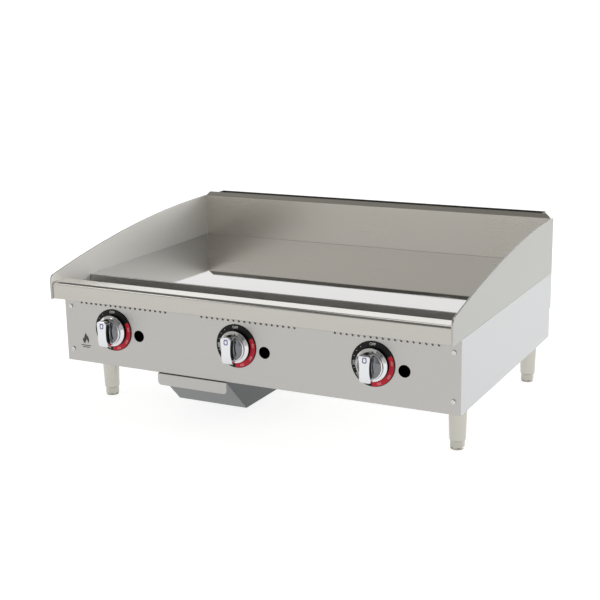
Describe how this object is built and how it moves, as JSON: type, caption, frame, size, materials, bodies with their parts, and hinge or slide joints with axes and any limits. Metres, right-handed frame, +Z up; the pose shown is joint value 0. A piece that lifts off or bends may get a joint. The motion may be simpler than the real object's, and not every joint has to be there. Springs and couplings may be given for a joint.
{
  "type": "flat top griddle",
  "caption": "Countertop gas griddle: flat polished plate with side and back splashes, front grease trough, pull-out grease drawer, thermostat knobs and levelling feet.",
  "frame": {"origin": "on the counter, under the middle of the whole outline", "axes": "+X to the right as the cook sees it, +Y to the back (the flue), +Z up"},
  "size_m": [0.9144, 0.71, 0.3904],
  "materials": {
    "stainless": "fine vertical or lengthwise brushed grain",
    "griddle_steel": "ground and polished, near mirror",
    "aluminised_steel": "dull aluminised mill finish",
    "black_iron": "black lacquered pipe",
    "brass": "turned",
    "valve_casting": "die cast",
    "gas_tube": "drawn",
    "dial_enamel": "black with a red arc and white markings",
    "chrome": "bright chrome",
    "screw_steel": "plain",
    "leg_metal": "satin cast",
    "foot_metal": "satin"
  },
  "bodies": {
    "casing": {"left_side_panel": "stainless", "right_side_panel": "stainless", "front_panel": "stainless", "front_rail": "stainless", "left_splash": "stainless", "right_splash": "stainless", "back_splash": "stainless", "flue_duct": "stainless", "grease_trough": "stainless", "drain_chute": "stainless", "griddle_plate": "griddle_steel", "rear_panel": "aluminised_steel", "bottom_cover": "aluminised_steel", "front_bulkhead": "aluminised_steel", "front_burner_rest": "aluminised_steel", "rear_burner_rest": "aluminised_steel", "heat_shield": "aluminised_steel", "drawer_rail_left": "aluminised_steel", "drawer_rail_right": "aluminised_steel", "burner_left": "aluminised_steel", "burner_centre": "aluminised_steel", "burner_right": "aluminised_steel", "gas_manifold": "black_iron", "inlet_coupling": "black_iron", "pilot_burner_left": "brass", "thermostat_left": "valve_casting", "supply_tube_left": "gas_tube", "pilot_tube_left": "gas_tube", "dial_plate_left": "dial_enamel", "pilot_burner_centre": "brass", "thermostat_centre": "valve_casting", "supply_tube_centre": "gas_tube", "pilot_tube_centre": "gas_tube", "dial_plate_centre": "dial_enamel", "pilot_burner_right": "brass", "thermostat_right": "valve_casting", "supply_tube_right": "gas_tube", "pilot_tube_right": "gas_tube", "dial_plate_right": "dial_enamel", "panel_screw_left_lower": "screw_steel", "panel_screw_left_upper": "screw_steel", "panel_screw_right_lower": "screw_steel", "panel_screw_right_upper": "screw_steel", "leg_front_left": "leg_metal", "leg_front_right": "leg_metal", "leg_rear_left": "leg_metal", "leg_rear_right": "leg_metal"},
    "left_knob": {"knob_left": "chrome", "thermostat_stem_left": "brass"},
    "centre_knob": {"knob_centre": "chrome", "thermostat_stem_centre": "brass"},
    "right_knob": {"knob_right": "chrome", "thermostat_stem_right": "brass"},
    "drawer": {"grease_drawer": "stainless", "drawer_pull": "stainless"},
    "front_left_foot": {"foot_front_left": "foot_metal"},
    "front_right_foot": {"foot_front_right": "foot_metal"},
    "rear_left_foot": {"foot_rear_left": "foot_metal"},
    "rear_right_foot": {"foot_rear_right": "foot_metal"}
  },
  "joints": [
    {"name": "left_knob_turn", "type": "hinge", "parent": "casing", "child": "left_knob", "pos_m": [-0.3316, -0.307, 0.1856], "axis": [0, -1, 0], "range_deg": [0, 300]},
    {"name": "centre_knob_turn", "type": "hinge", "parent": "casing", "child": "centre_knob", "pos_m": [-0.0268, -0.307, 0.1856], "axis": [0, -1, 0], "range_deg": [0, 300]},
    {"name": "right_knob_turn", "type": "hinge", "parent": "casing", "child": "right_knob", "pos_m": [0.278, -0.307, 0.1856], "axis": [0, -1, 0], "range_deg": [0, 300]},
    {"name": "drawer_slide", "type": "slide", "parent": "casing", "child": "drawer", "axis": [0, -1, 0], "range_m": [0, 0.3]},
    {"name": "front_left_foot_level", "type": "slide", "parent": "casing", "child": "front_left_foot", "axis": [0, 0, -1], "range_m": [0, 0.025]},
    {"name": "front_right_foot_level", "type": "slide", "parent": "casing", "child": "front_right_foot", "axis": [0, 0, -1], "range_m": [0, 0.025]},
    {"name": "rear_left_foot_level", "type": "slide", "parent": "casing", "child": "rear_left_foot", "axis": [0, 0, -1], "range_m": [0, 0.025]},
    {"name": "rear_right_foot_level", "type": "slide", "parent": "casing", "child": "rear_right_foot", "axis": [0, 0, -1], "range_m": [0, 0.025]}
  ]
}
